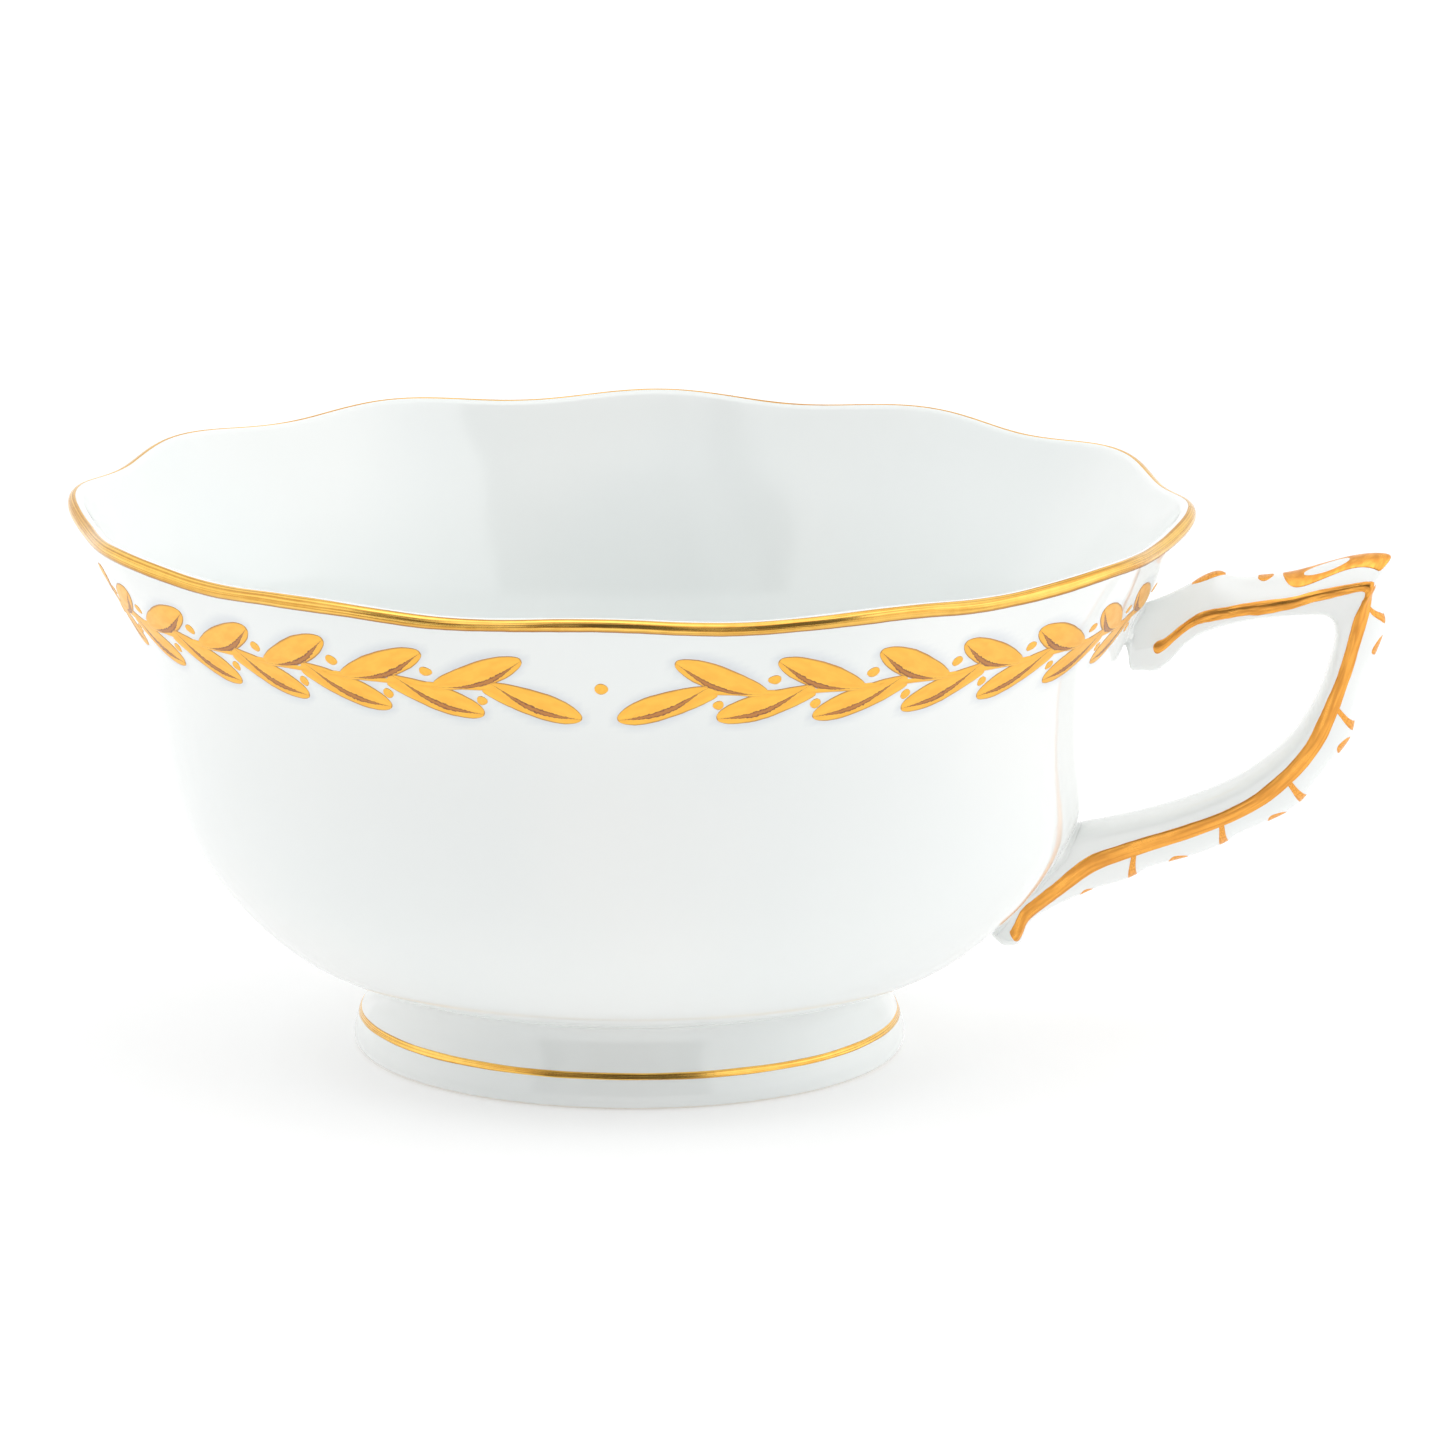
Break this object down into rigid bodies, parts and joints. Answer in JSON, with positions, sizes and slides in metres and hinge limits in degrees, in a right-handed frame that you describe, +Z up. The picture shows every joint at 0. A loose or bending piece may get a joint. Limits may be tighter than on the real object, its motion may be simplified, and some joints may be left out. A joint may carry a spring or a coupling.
{
  "type": "teacup",
  "caption": "Wide porcelain teacup with a scalloped flared rim, pedestal foot ring, ear handle with a thumb rest, gilt edges and a gilt laurel band.",
  "frame": {"origin": "on the plane the foot stands on, under the middle of the whole object's box; the bowl's own axis is parallel to Z, 9.334 mm from the origin towards -X", "axes": "+Z up the bowl's axis, +X from the bowl towards the handle, which lies in the XZ plane"},
  "size_m": [0.1268, 0.108, 0.0536],
  "materials": {
    "porcelain_glaze": "clear gloss glaze over cool white porcelain",
    "burnished_gold": "thin burnished gilding on the glaze, bright with fine streaks; brass stands for gold",
    "matt_gold": "thin satin gilding on the glaze, warm and soft; brass stands for gold"
  },
  "bodies": {
    "root": {"bowl": "porcelain_glaze", "foot_ring": "porcelain_glaze", "handle": "porcelain_glaze", "upper_slip_joint": "porcelain_glaze", "lower_slip_joint": "porcelain_glaze", "rim_gilding": "burnished_gold", "foot_gilt_line": "burnished_gold", "handle_gilding_front": "matt_gold", "handle_gilding_back": "matt_gold", "thumb_rest_gilding": "matt_gold", "laurel_branch_front_right": "matt_gold", "laurel_branch_front_left": "matt_gold", "laurel_branch_back_right": "matt_gold", "laurel_branch_back_left": "matt_gold", "laurel_dot_front": "matt_gold", "laurel_dot_back": "matt_gold"}
  },
  "joints": []
}
